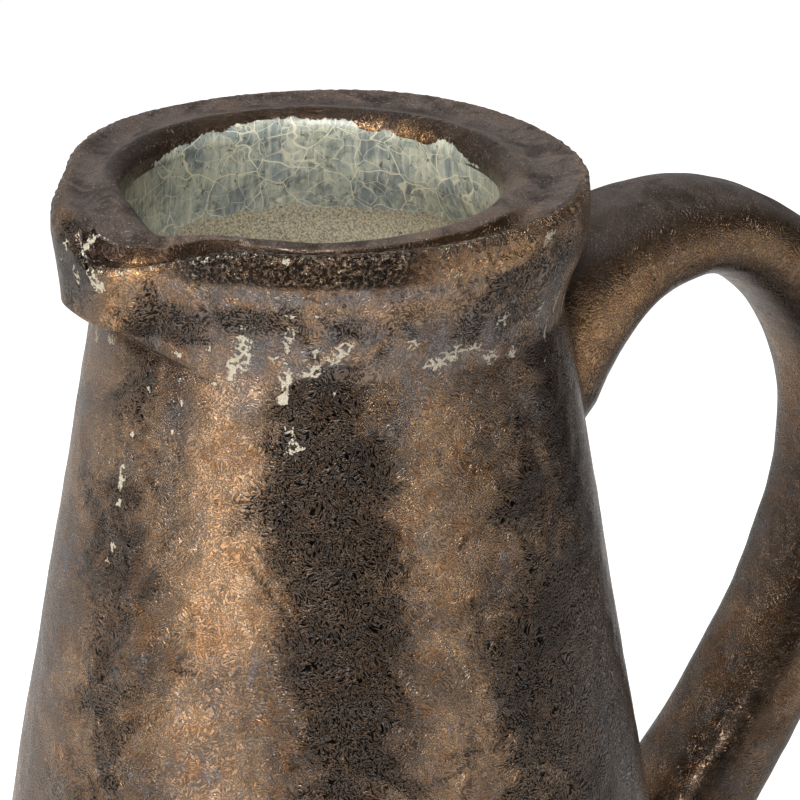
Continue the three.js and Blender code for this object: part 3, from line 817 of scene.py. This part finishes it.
# %% Masks
BEHIND = FRONT + 180
from_back = np.abs((np.degrees(theta) - BEHIND + 180) % 360 - 180)
rolled = (row - ends["top"]) / (ends["roll"] - ends["top"])
creep_height = 0.62 * (1 - ease(from_back, 20, 78))
creep = np.clip(0.5 + (rolled - 1 + creep_height), 0, 1) * (row >= ends["top"])
# The shadow side of the mouth's roll at the back, painted dark as shade.
roll_shade = rows_between(ends["top"] - 4, ends["roll"] + 9, 4) * (1 - ease(from_back, 84, 112))
face_low = 8 + 1.5 * np.exp(-((around_spout - 24) / 9) ** 2)
crumb_zone = on_face * frontal * (1 - ease(depth_below, face_low - 1, face_low + 0.6))
crumb_zone = crumb_zone * (1 - 0.9 * ease(around_spout, 68, 80))
# A line along the lip's outer edge at the right, painted dark as shade.
edge_rows = rows_between(ends["edge"] - 3, ends["edge"] + 1, 1)
edge_shade = band(around_spout, 84, 94, 132, 142, edge_rows)
below_face = frontal * np.exp(-((depth_below - face_low - 2.2) / 2) ** 2) * (row < ends["face"])
# Painted highlights: cream glints along the lip's ridge, from the spout across the front.
glints = rows_between(ends["face"], ends["edge"] + 1, 1) * ease(around_spout, -1, 3)
glints = glints * (1 - 0.75 * ease(around_spout, 24, 40)) * (1 - ease(around_spout, 90, 112))
curl_angle = np.interp(row, (-4, -1, 2, 7, 11, 14) + ends["edge"] - 1, (-3, -3.6, -4.2, -4.2, -3, -1.2))
curl = np.exp(-((around_spout - curl_angle) / 0.8) ** 2)
curl = curl * rows_between(ends["edge"] - 5, ends["edge"] + 14, 1)
gold_and_highlight = np.where(row >= ends["top"], mapped(skin, ROLL_GOLD_AND_HIGHLIGHT_SPOTS), mapped(skin, GOLD_AND_HIGHLIGHT_SPOTS))
masks = {
    "worn": np.clip(mapped(skin, WORN) * (row < ends["edge"] + 2) + curl, 0, 1),
    "haze": np.clip(mapped(skin, HAZE) + below_face, 0, 1),
    "gold_and_highlight": gold_and_highlight,
    "soot_and_shade": mapped(skin, SOOT_AND_SHADE_SPOTS),
    "dry": on_top * (1 - hollow_mask) * (1 - groove_shade) * (1 - roll_shade) * (1 - edge_shade),
    # This mask is painted shade: the groove, the pinched hollow, the roll's shadow side and the edge
    # line are painted dark.
    "hollow": np.clip(hollow_mask + groove_shade + 0.8 * roll_shade + 1.1 * edge_shade, 0, 1),
    "face": crumb_zone,
    "glints": glints,
    "creep": np.clip(creep - gold_and_highlight * (row >= ends["top"]), 0, 1),
}
for piece, start, first, last in skinned_pieces:
    for name, values in masks.items():
        paint(piece, name, np.broadcast_to(values, skin.shape[:2])[first:last], start)
print("masks:", sorted(masks))

# %% [markdown]
# Materials. One function turns a hex colour to linear light, one adds a node, and one starts a
# material. Pattern sizes are given in millimetres: Object coordinates are in metres, so a feature of
# that size needs a texture scale of 1000 divided by it.

# %% Helpers for materials
def colour(code):
    """Linear RGBA from an sRGB hex code."""
    parts = [int(code[i:i + 2], 16) / 255 for i in (1, 3, 5)]
    linear = [p / 12.92 if p <= 0.04045 else ((p + 0.055) / 1.055) ** 2.4 for p in parts]
    return (*linear, 1)


def add(tree, kind, inputs=(), out=0, **settings):
    """Adds a shader node with its settings and returns one of its outputs. An input, given by its
    name or number or in order, is a value or another node's output."""
    node = tree.nodes.new("ShaderNode" + kind)
    for key, value in settings.items():
        setattr(node, key, value)
    for key, value in inputs.items() if isinstance(inputs, dict) else enumerate(inputs):
        if isinstance(value, bpy.types.NodeSocket):
            tree.links.new(value, node.inputs[key])
        else:
            node.inputs[key].default_value = value
    return node.outputs[out] if node.outputs else None


def make_material(name, surface):
    """A material whose surface is what one of the functions below builds on Object coordinates."""
    material = bpy.data.materials.new(name)
    material.use_nodes = True
    tree = material.node_tree
    tree.nodes.clear()
    add(tree, "OutputMaterial", {"Surface": surface(tree, add(tree, "TexCoord", out="Object"))})
    print("material", name, "has", len(tree.nodes), "nodes")
    return material

# %% [markdown]
# The outside is a bronze lustre: a metal-rich glaze fired to a thin skin of copper and manganese. It
# gives broad metallic highlights on a ground that drifts between umber, copper, blue-grey and near
# black. The skin has shrunk into fine folds about 0.8 mm apart, whose valleys are painted dark as shade.
# They are the level lines of a noise whose coordinates are pushed about by a slower one, so they run
# in swirls. Where the glaze has crawled away, the cream slip under it shows, dull and not metallic.
# Glaze is a stack of thin coats, so its colour is built as one: soft patches of a size, laid over each
# other.

# %% Coats of colour
SMOOTH = {"interpolation_type": "SMOOTHSTEP"}
TIMES, TIMES_PLUS, MINUS = ({"operation": name} for name in ("MULTIPLY", "MULTIPLY_ADD", "SUBTRACT"))


def sized(at, size_mm, detail, rough, warp=0):
    """The inputs of a noise node whose features have a size."""
    scale = MM / size_mm
    return {"Vector": at, "Scale": scale, "Detail": detail, "Roughness": rough, "Distortion": warp}


def patches(tree, at, size_mm, low, high, most=1, least=0, detail=4, rough=0.6, warp=0):
    """Soft patches of a size: a noise that goes smoothly from least, at low, to most, at high."""
    level = add(tree, "TexNoise", sized(at, size_mm, detail, rough, warp))
    return add(tree, "MapRange", (level, low, high, least, most), **SMOOTH)


def coated(tree, ground, *coats):
    """A ground colour under coats laid on in order. A coat is one or more shares from 0 to 1, which
    are multiplied, and a colour."""
    for share, *factors, tint in coats:
        for factor in factors:
            share = add(tree, "Math", (share, factor), **TIMES)
        ground = add(tree, "Mix", {0: share, 6: ground, 7: tint}, 2, data_type="RGBA")
    return ground


def pushed(tree, at, size_mm, share):
    """The coordinates pushed about by a noise of one size, by at most share metres."""
    push = add(tree, "TexNoise", {"Vector": at, "Scale": MM / size_mm, "Detail": 1}, 1)
    return add(tree, "Mix", {0: share, 4: at, 5: push}, 1, data_type="VECTOR")


def shrunk_folds(tree, at):
    """0 in the valleys between the shrunk glaze's folds and 1 on their backs."""
    return patches(tree, pushed(tree, at, 6, 0.008), 0.5, 0.37, 0.58, detail=1, rough=0.55)

# %% Bronze glaze: colour
UMBER, COPPER = colour("#7a6757"), colour("#b39374")
SLATE, SOOT, BLACK = colour("#7a7a7d"), colour("#4d4239"), colour("#0c0a08")
GOLD, RUST, STEEL = colour("#dcae7d"), colour("#96693f"), colour("#8b97a4")


def bronze_colour(tree, at, folds):
    """The glaze's drifting ground colour: darker patches, partly sootier glaze and partly painted shade,
    fold valleys painted near black as shade, and a fine mix of hues.
    """
    hazy = add(tree, "Attribute", out="Fac", attribute_name="haze")
    base = coated(
        tree, UMBER,
        (patches(tree, at, 34, 0.4, 0.62, warp=0.6), COPPER),
        (patches(tree, at, 19, 0.53, 0.66, 0.6, detail=6, rough=0.7, warp=0.9), SLATE),
        (patches(tree, at, 1.1, 0.5, 0.64, 0.45, detail=6, rough=0.7), SLATE),
        (patches(tree, at, 1.1, 0.48, 0.36, 0.3, detail=6, rough=0.7), GOLD),
        (patches(tree, at, 8, 0.5, 0.64, 0.5, detail=5, rough=0.65, warp=0.5), RUST),
        (hazy, patches(tree, at, 5, 0.34, 0.56, 0.75, detail=5, rough=0.65), SLATE),
    )
    # The spots read here and a slow cloud paint the ground darker: partly a sootier glaze, partly
    # painted shade where the cone reflects the dark room.
    soot_and_shade = add(tree, "Attribute", out="Fac", attribute_name="soot_and_shade")
    cloud = add(tree, "TexNoise", sized(at, 15, 6, 0.7, 0.7))
    cloud = add(tree, "Math", (soot_and_shade, 0.37, cloud), **TIMES_PLUS)
    dark = add(tree, "MapRange", (cloud, 0.59, 0.82, 0, 0.7), **SMOOTH)
    # The fold valleys are painted near black, more so in the darker patches: painted shade in the
    # creases.
    between = add(tree, "MapRange", (folds, 0, 1, 1, 0), **SMOOTH)
    depth = add(tree, "Math", (dark, 1.3, 0.3), **TIMES_PLUS)
    specks = patches(tree, at, 0.9, 0.56, 0.64, 0.55, detail=6, rough=0.75)
    return coated(tree, base, (dark, SOOT), (specks, STEEL), (between, depth, BLACK))

# %% Bronze glaze: wear and relief
FOLD_RELIEF, GRAIN_RELIEF, SWELL_RELIEF, PINHOLE_RELIEF, CRUMB_RELIEF = 0.14, 0.06, 0.25, 0.2, 0.5


def worn_share(tree, at):
    """Where the cream slip shows: the painted spots broken up into ragged, lacy flecks, which keep
    to the edges of random cells as curdled glaze does."""
    coarse = add(tree, "TexNoise", sized(at, 1.9, 8, 0.75, 0.6))
    fine = add(tree, "TexNoise", sized(at, 0.5, 2, 0.55))
    ragged = add(tree, "Math", (fine, 0.6, coarse), **TIMES_PLUS)
    cells = add(tree, "TexVoronoi", {
        "Vector": pushed(tree, at, 2, 0.001), "Scale": MM / 2}, feature="DISTANCE_TO_EDGE")
    lace = add(tree, "MapRange", (cells, 0.05, 0.3, 0.06, -0.2), **SMOOTH)
    ragged = add(tree, "Math", (ragged, lace), operation="ADD")
    spots = add(tree, "Attribute", out="Fac", attribute_name="worn")
    limit = add(tree, "MapRange", (spots, 0, 1, 1.14, 0.755), **SMOOTH)
    past = add(tree, "Math", (ragged, limit), **MINUS)
    return add(tree, "MapRange", (past, 0, 0.03), **SMOOTH)


def leather_height(tree, at, folds, face):
    """Relief in millimetres: the folds, fine grain, slow swell, pinholes and the face's crumbs."""
    relief = add(tree, "Math", (folds, FOLD_RELIEF), **TIMES)
    for size, rough, height in ((0.7, 0.6, GRAIN_RELIEF), (6, 0.5, SWELL_RELIEF)):
        level = add(tree, "TexNoise", sized(at, size, 3, rough))
        relief = add(tree, "Math", (level, height, relief), **TIMES_PLUS)
    cells = add(tree, "TexVoronoi", {"Vector": at, "Scale": MM / 11}, "Distance")
    pinholes = add(tree, "MapRange", (cells, 0.02, 0.07, 0, PINHOLE_RELIEF), **SMOOTH)
    relief = add(tree, "Math", (relief, pinholes), operation="ADD")
    crumbs = add(tree, "TexNoise", sized(at, 1.3, 4, 0.7))
    crumbs = add(tree, "Math", (crumbs, CRUMB_RELIEF), **TIMES)
    return add(tree, "Math", (crumbs, face, relief), **TIMES_PLUS)

# %% [markdown]
# The painted masks steer this one glaze: bare and dusty on the lip's top; dark in the groove, the
# pinched hollow, the shadow side of the mouth's roll and along the outer edge at the right, which is
# painted shade; gritty on the lip's outer face; golden where it ran thick and where highlights are
# painted; cream glints, painted highlights, along the lip's ridge; brown on the handle's flanks, partly
# painted shade, with a gold band painted along the strap's side as a highlight.

# %% Bronze glaze: the whole finish
CREAM, DUST = colour("#d5cdb9"), colour("#6a5d57")
EARTH, SHADED_BROWN = colour("#3a2d26"), colour("#33261b")
METAL = 0.8


def bronze_surface(tree, at):
    """The bronze glaze with its worn spots and, where the glaze is thin, a dry and dusty skin."""
    dry, hollow, face, gold_and_highlight, brown_and_shade, glints = [
        add(tree, "Attribute", out="Fac", attribute_name=name)
        for name in ("dry", "hollow", "face", "gold_and_highlight", "brown_and_shade", "glints")]
    worn, folds = worn_share(tree, at), shrunk_folds(tree, at)
    bare = patches(tree, at, 9, 0.3, 0.55, 1, 0.7, detail=5, rough=0.65, warp=0.5)
    dusty = add(tree, "Math", (dry, bare), **TIMES)
    ran = patches(tree, at, 2.2, 0.4, 0.56, 1, 0.15, detail=6, rough=0.75)
    backs = add(tree, "MapRange", (folds, 0, 1, 0.5, 1), **SMOOTH)
    not_gold_and_highlight = add(tree, "Math", (1, gold_and_highlight), **MINUS)
    ground = coated(
        tree, bronze_colour(tree, at, folds),
        # Painted shade: dark earth in the groove, the pinched hollow, under the roll and along the edge
        # line.
        (hollow, 0.85, EARTH),
        # Gold, stronger on the folds' backs: partly thick glaze, partly painted highlight.
        (gold_and_highlight, ran, backs, GOLD),
        (face, not_gold_and_highlight, 0.6, EARTH),
        (face, patches(tree, at, 0.9, 0.45, 0.52, 0.95, rough=0.75), BLACK),
        (face, patches(tree, at, 0.9, 0.4, 0.34, 0.7, rough=0.75), CREAM),
        # The handle painted dark brown: partly a browner glaze, partly painted shade.
        (brown_and_shade, 0.88, SHADED_BROWN),
    )
    dust = coated(
        tree, DUST,
        (patches(tree, at, 9, 0.42, 0.66, detail=5, rough=0.65, warp=0.5), EARTH),
        (patches(tree, at, 0.5, 0.58, 0.72, 0.4, detail=2), CREAM),
        (patches(tree, at, 0.5, 0.42, 0.3, 0.6, detail=2), SOOT),
    )
    # The ridge's glints, broken up by this noise, are painted cream as highlights.
    sparkle = patches(tree, at, 1.2, 0.52, 0.58, 0.9, rough=0.75)
    ground = coated(tree, ground, (dusty, dust), (glints, sparkle, CREAM), (worn, CREAM))
    rough = patches(tree, at, 6, 0.3, 0.7, 0.26, 0.13)
    rough = add(tree, "Math", (dusty, 0.3, rough), **TIMES_PLUS)
    rough = add(tree, "Math", (worn, 0.4, rough), **TIMES_PLUS)
    unworn = add(tree, "Math", (worn, -METAL, METAL), **TIMES_PLUS)
    undusty = add(tree, "Math", (dusty, -0.75, 1), **TIMES_PLUS)
    metallic = add(tree, "Math", (unworn, undusty), **TIMES)
    bump = add(tree, "Bump", {"Height": leather_height(tree, at, folds, face), "Distance": 0.001})
    return add(tree, "BsdfPrincipled", {
        "Base Color": ground, "Roughness": rough, "Metallic": metallic, "IOR": 1.5, "Normal": bump})


bronze = make_material("bronze_lustre_glaze", bronze_surface)

# %% [markdown]
# Inside, a pale celadon-like glaze has crazed as it cooled. Cells about 10 mm across with hair-fine
# cream lines, blue-grey clouds and dark specks lie under a glossy skin. About 2 cm down it turns to a
# grainy tan, and where it was brushed it has upright streaks.

# %% Crackle glaze
CELADON, MIST = colour("#ccd0bd"), colour("#9aa5a4")
CRACK, SPECK, OCHRE = colour("#f7f2d8"), colour("#4b4a42"), colour("#e2d5b8")
SHADE, GRIT = colour("#76807c"), colour("#8d8571")
TAN_TOP, TAN_SOFT = 0.2455, 0.001


def crackle_surface(tree, at):
    """Clouds and brushed streaks above, grain below, and two sizes of crack lines, which are the
    edges of random cells, over the upper part."""
    upright = add(tree, "Mapping", {0: at, 3: (1, 1, 0.12)})
    ground = coated(
        tree, CELADON,
        (patches(tree, at, 9, 0.42, 0.62, detail=5, rough=0.65, warp=0.5), MIST),
        (patches(tree, at, 3.5, 0.52, 0.64, 0.7, detail=6, rough=0.7, warp=0.6), SHADE),
        (patches(tree, upright, 1.2, 0.5, 0.64, 0.35, detail=3), SPECK),
        (patches(tree, upright, 1.2, 0.46, 0.34, 0.4, detail=3), CRACK),
    )
    height = add(tree, "SeparateXYZ", {0: at}, "Z")
    wander = add(tree, "TexNoise", sized(at, 9, 6, 0.7))
    edge = add(tree, "Math", (wander, 0.008, height), **TIMES_PLUS)
    low = add(tree, "MapRange", (edge, TAN_TOP - TAN_SOFT, TAN_TOP, 0.9, 0), **SMOOTH)
    grainy = coated(tree, GRIT, (patches(tree, at, 0.5, 0.42, 0.56, detail=5, rough=0.75), OCHRE))
    above = add(tree, "Math", (1, low), **MINUS)
    ground = coated(tree, ground, (low, grainy))
    bent = pushed(tree, at, 7, 0.004)
    for size, width, strength in ((10, 0.014, 0.9), (4.2, 0.026, 0.6)):
        cells = add(tree, "TexVoronoi", {"Vector": bent, "Scale": MM / size}, feature="DISTANCE_TO_EDGE")
        line = add(tree, "MapRange", (cells, width * 0.4, width, strength, 0), **SMOOTH)
        ground = coated(tree, ground, (line, above, CRACK))
    ground = coated(tree, ground, (patches(tree, at, 1.3, 0.62, 0.7, 0.75, detail=3), SPECK))
    ripple = add(tree, "TexNoise", sized(at, 2, 3, 0.55))
    bump = add(tree, "Bump", {"Height": ripple, "Distance": 0.00012})
    return add(tree, "BsdfPrincipled", {
        "Base Color": ground, "Roughness": 0.28, "Metallic": 0, "IOR": 1.5, "Normal": bump})


crackle = make_material("crackle_glaze", crackle_surface)

# %% [markdown]
# The lip is the same bronze glaze, thin and dry on its flat top. At the back the pale inner glaze
# creeps up the mouth's roll to a ragged line. The underside of the foot is wiped clean and shows bare
# terracotta.

# %% Lip glaze and bare clay
def lip_surface(tree, at):
    """The bronze glaze, with the crackle glaze where the creep mask and ragged drips add up."""
    creep = add(tree, "Attribute", out="Fac", attribute_name="creep")
    upright = add(tree, "Mapping", {0: at, 3: (1, 1, 0.2)})
    runs = add(tree, "TexNoise", sized(upright, 1, 3, 0.6))
    drips = add(tree, "TexNoise", sized(at, 7, 6, 0.7))
    drips = add(tree, "Math", (runs, 0.5, drips), **TIMES_PLUS)
    ragged = add(tree, "Math", (drips, 0.55, creep), **TIMES_PLUS)
    pale = add(tree, "MapRange", (ragged, 0.9, 0.94), **SMOOTH)
    return add(tree, "MixShader", (pale, bronze_surface(tree, at), crackle_surface(tree, at)))


def clay_surface(tree, at):
    """Unglazed terracotta: matt, grainy, with a few darker specks."""
    cloud = add(tree, "TexNoise", sized(at, 4, 5, 0.6))
    ground = coated(tree, colour("#a5633f"), (cloud, colour("#7d4830")))
    grain = add(tree, "TexNoise", sized(at, 0.6, 4, 0.55))
    bump = add(tree, "Bump", {"Height": grain, "Strength": 0.5, "Distance": 0.0002})
    return add(tree, "BsdfPrincipled", {
        "Base Color": ground, "Roughness": 0.9, "Metallic": 0, "IOR": 1.5, "Normal": bump})


lip_glaze = make_material("dry_lip_glaze", lip_surface)
clay = make_material("bare_terracotta", clay_surface)

# %% [markdown]
# Every piece gets its material, rides on the one body and stands for its clay node.

# %% Pieces and nodes
for piece, material, slot, *nodes in (
    (foot, clay, "bare_terracotta", "base_slab"),
    (wall, bronze, "bronze_glaze", "body_wall"),
    (collar, bronze, "bronze_glaze", "neck_collar"),
    (lip, lip_glaze, "lip_glaze", "rim_lip"),
    (lining, crackle, "crackle_glaze", "glaze_lining"),
    (handle, bronze, "bronze_glaze", "handle_upper_wad", "handle_strap", "handle_lower_wad"),
):
    piece.data.materials.append(material)
    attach(piece, "root")
    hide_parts(*nodes)
    print(piece.name, "stands for", nodes)

# %% [markdown]
# The studio is a white sweep with a dark room in front. Two tall soft lights stand left and right of
# the camera, and their reflections are the copper bands on the cone. The room behind the camera stays
# dark, so the middle of the cone does too, where the glaze is also painted darker as shade, and the
# white sweep behind puts a pale fringe on the edges.

# %% Studio floor
FLOOR_HALF = 0.8
corners = [(x * FLOOR_HALF, y * FLOOR_HALF, 0) for x, y in ((-1, -1), (1, -1), (1, 1), (-1, 1))]
floor_mesh = bpy.data.meshes.new("floor")
floor_mesh.from_pydata(corners, [], [(0, 1, 2, 3)])
floor = bpy.data.objects.new("floor", floor_mesh)
scene.collection.objects.link(floor)


def sweep_surface(tree, at):
    """White that catches the shadow, with a glow that only the camera and reflections see."""
    diffuse = add(tree, "BsdfDiffuse", {"Color": colour("#f2f2f2")})
    seen = add(tree, "LightPath", out="Is Camera Ray")
    mirrored = add(tree, "LightPath", out="Is Glossy Ray")
    seen = add(tree, "Math", (seen, 0.85), **TIMES)
    strength = add(tree, "Math", (mirrored, 0.1, seen), **TIMES_PLUS)
    glow = add(tree, "Emission", {"Color": (1, 1, 1, 1), "Strength": strength})
    return add(tree, "AddShader", (diffuse, glow))


floor_mesh.materials.append(make_material("white_sweep", sweep_surface))

# %% Studio lights
VIEW = math.degrees(VIEW_AZIMUTH)


def soft_light(name, azimuth, elevation, distance, size, power, tint):
    """A rectangular soft light that faces the pitcher's middle: angles from the camera's side, a
    distance and a size in metres, and its power in watts."""
    data = bpy.data.lights.new(name, "AREA")
    data.shape = "RECTANGLE"
    data.size, data.size_y = size
    data.energy = power
    data.color = colour(tint)[:3]
    lamp = bpy.data.objects.new(name, data)
    a, e = math.radians(VIEW + azimuth), math.radians(elevation)
    centre = Vector((0, 0, HEIGHT / MM * 0.6))
    towards = Vector((math.sin(a) * math.cos(e), -math.cos(a) * math.cos(e), math.sin(e)))
    facing = towards.to_track_quat("Z", "Y").to_matrix().to_4x4()
    lamp.matrix_world = Matrix.Translation(centre + towards * distance) @ facing
    scene.collection.objects.link(lamp)


soft_light("left_softbox", -44, 6, 1.5, (0.75, 2), 13, "#fff3e4")
soft_light("right_softbox", 48, 6, 1.6, (0.5, 2), 3, "#fff6ec")
soft_light("top_softbox", -15, 58, 1.5, (0.7, 0.7), 20.5, "#ffffff")

# %% [markdown]
# The world is the room. The camera sees it white, and the object sees it dark in front and pale
# behind, where the sweep curves up.

# %% Studio room
world = bpy.data.worlds.new("studio")
scene.world = world
world.use_nodes = True
sky = world.node_tree
sky.nodes.clear()
behind_view = math.radians(VIEW - 150)
sweep_way = (math.sin(behind_view), -math.cos(behind_view), 0)
way = add(sky, "TexCoord", out="Generated")
away = add(sky, "VectorMath", (way, sweep_way), "Value", operation="DOT_PRODUCT")
behind = add(sky, "MapRange", (away, 0.25, 0.95, 0.03, 0.45), **SMOOTH)
seen = add(sky, "LightPath", out="Is Camera Ray")
strength = add(sky, "Math", (behind, seen), operation="MAXIMUM")
room = add(sky, "Background", {"Color": (1, 1, 1, 1), "Strength": strength})
add(sky, "OutputWorld", {"Surface": room})
scene.view_settings.view_transform = "Standard"
print("the room has", len(sky.nodes), "nodes")
